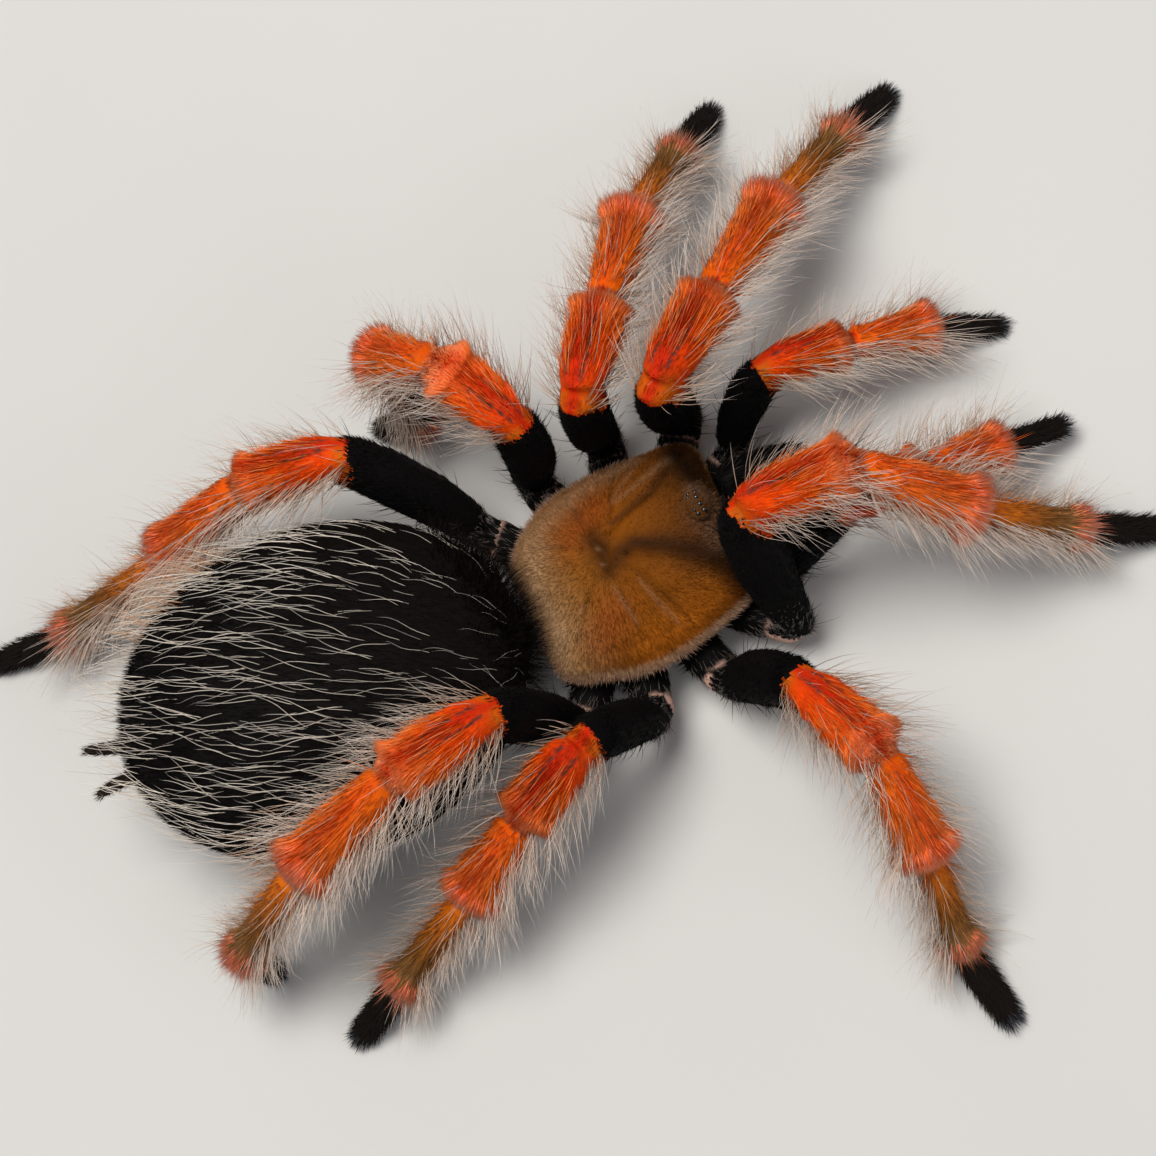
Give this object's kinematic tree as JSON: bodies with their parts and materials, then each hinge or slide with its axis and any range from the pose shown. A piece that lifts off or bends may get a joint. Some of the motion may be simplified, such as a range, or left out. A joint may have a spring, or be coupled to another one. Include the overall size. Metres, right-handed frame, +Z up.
{
  "type": "tarantula",
  "caption": "Life-size still model of a Mexican fireleg tarantula standing with its legs spread: orange knees, copper head shield, black hairy abdomen.",
  "frame": {"origin": "on the floor under the middle of the bounding box", "axes": "+Z up from the floor, the spider faces -Y and its left side is +X"},
  "size_m": [0.0852, 0.0972, 0.0249],
  "materials": {
    "black_velvet": "matte",
    "fire_orange_hair": "matte",
    "salmon_hair": "matte",
    "pale_orange_hair": "matte",
    "copper_velvet": "satin",
    "abdomen_coat": "matte",
    "dark_horn": "gloss",
    "brown_skin": "satin"
  },
  "bodies": {
    "root": {"carapace": "copper_velvet", "eye_tubercle": "dark_horn", "sternum_and_coxae": "black_velvet", "chelicera_left": "black_velvet", "chelicera_right": "black_velvet", "fang_left": "dark_horn", "fang_right": "dark_horn", "pedicel": "brown_skin", "abdomen": "abdomen_coat", "spinneret_left": "brown_skin", "spinneret_right": "brown_skin", "palp_left_femur": "black_velvet", "palp_left_patella": "fire_orange_hair", "palp_left_tibia": "salmon_hair", "palp_left_tarsus": "black_velvet", "leg_left_1_femur": "black_velvet", "leg_left_1_patella": "fire_orange_hair", "leg_left_1_tibia": "salmon_hair", "leg_left_1_metatarsus": "pale_orange_hair", "leg_left_1_tarsus": "black_velvet", "leg_left_2_femur": "black_velvet", "leg_left_2_patella": "fire_orange_hair", "leg_left_2_tibia": "salmon_hair", "leg_left_2_metatarsus": "pale_orange_hair", "leg_left_2_tarsus": "black_velvet", "leg_left_3_femur": "black_velvet", "leg_left_3_patella": "fire_orange_hair", "leg_left_3_tibia": "salmon_hair", "leg_left_3_metatarsus": "pale_orange_hair", "leg_left_3_tarsus": "black_velvet", "leg_left_4_femur": "black_velvet", "leg_left_4_patella": "fire_orange_hair", "leg_left_4_tibia": "salmon_hair", "leg_left_4_metatarsus": "pale_orange_hair", "leg_left_4_tarsus": "black_velvet", "palp_right_femur": "black_velvet", "palp_right_patella": "fire_orange_hair", "palp_right_tibia": "salmon_hair", "palp_right_tarsus": "black_velvet", "leg_right_1_femur": "black_velvet", "leg_right_1_patella": "fire_orange_hair", "leg_right_1_tibia": "salmon_hair", "leg_right_1_metatarsus": "pale_orange_hair", "leg_right_1_tarsus": "black_velvet", "leg_right_2_femur": "black_velvet", "leg_right_2_patella": "fire_orange_hair", "leg_right_2_tibia": "salmon_hair", "leg_right_2_metatarsus": "pale_orange_hair", "leg_right_2_tarsus": "black_velvet", "leg_right_3_femur": "black_velvet", "leg_right_3_patella": "fire_orange_hair", "leg_right_3_tibia": "salmon_hair", "leg_right_3_metatarsus": "pale_orange_hair", "leg_right_3_tarsus": "black_velvet", "leg_right_4_femur": "black_velvet", "leg_right_4_patella": "fire_orange_hair", "leg_right_4_tibia": "salmon_hair", "leg_right_4_metatarsus": "pale_orange_hair", "leg_right_4_tarsus": "black_velvet"}
  },
  "joints": []
}
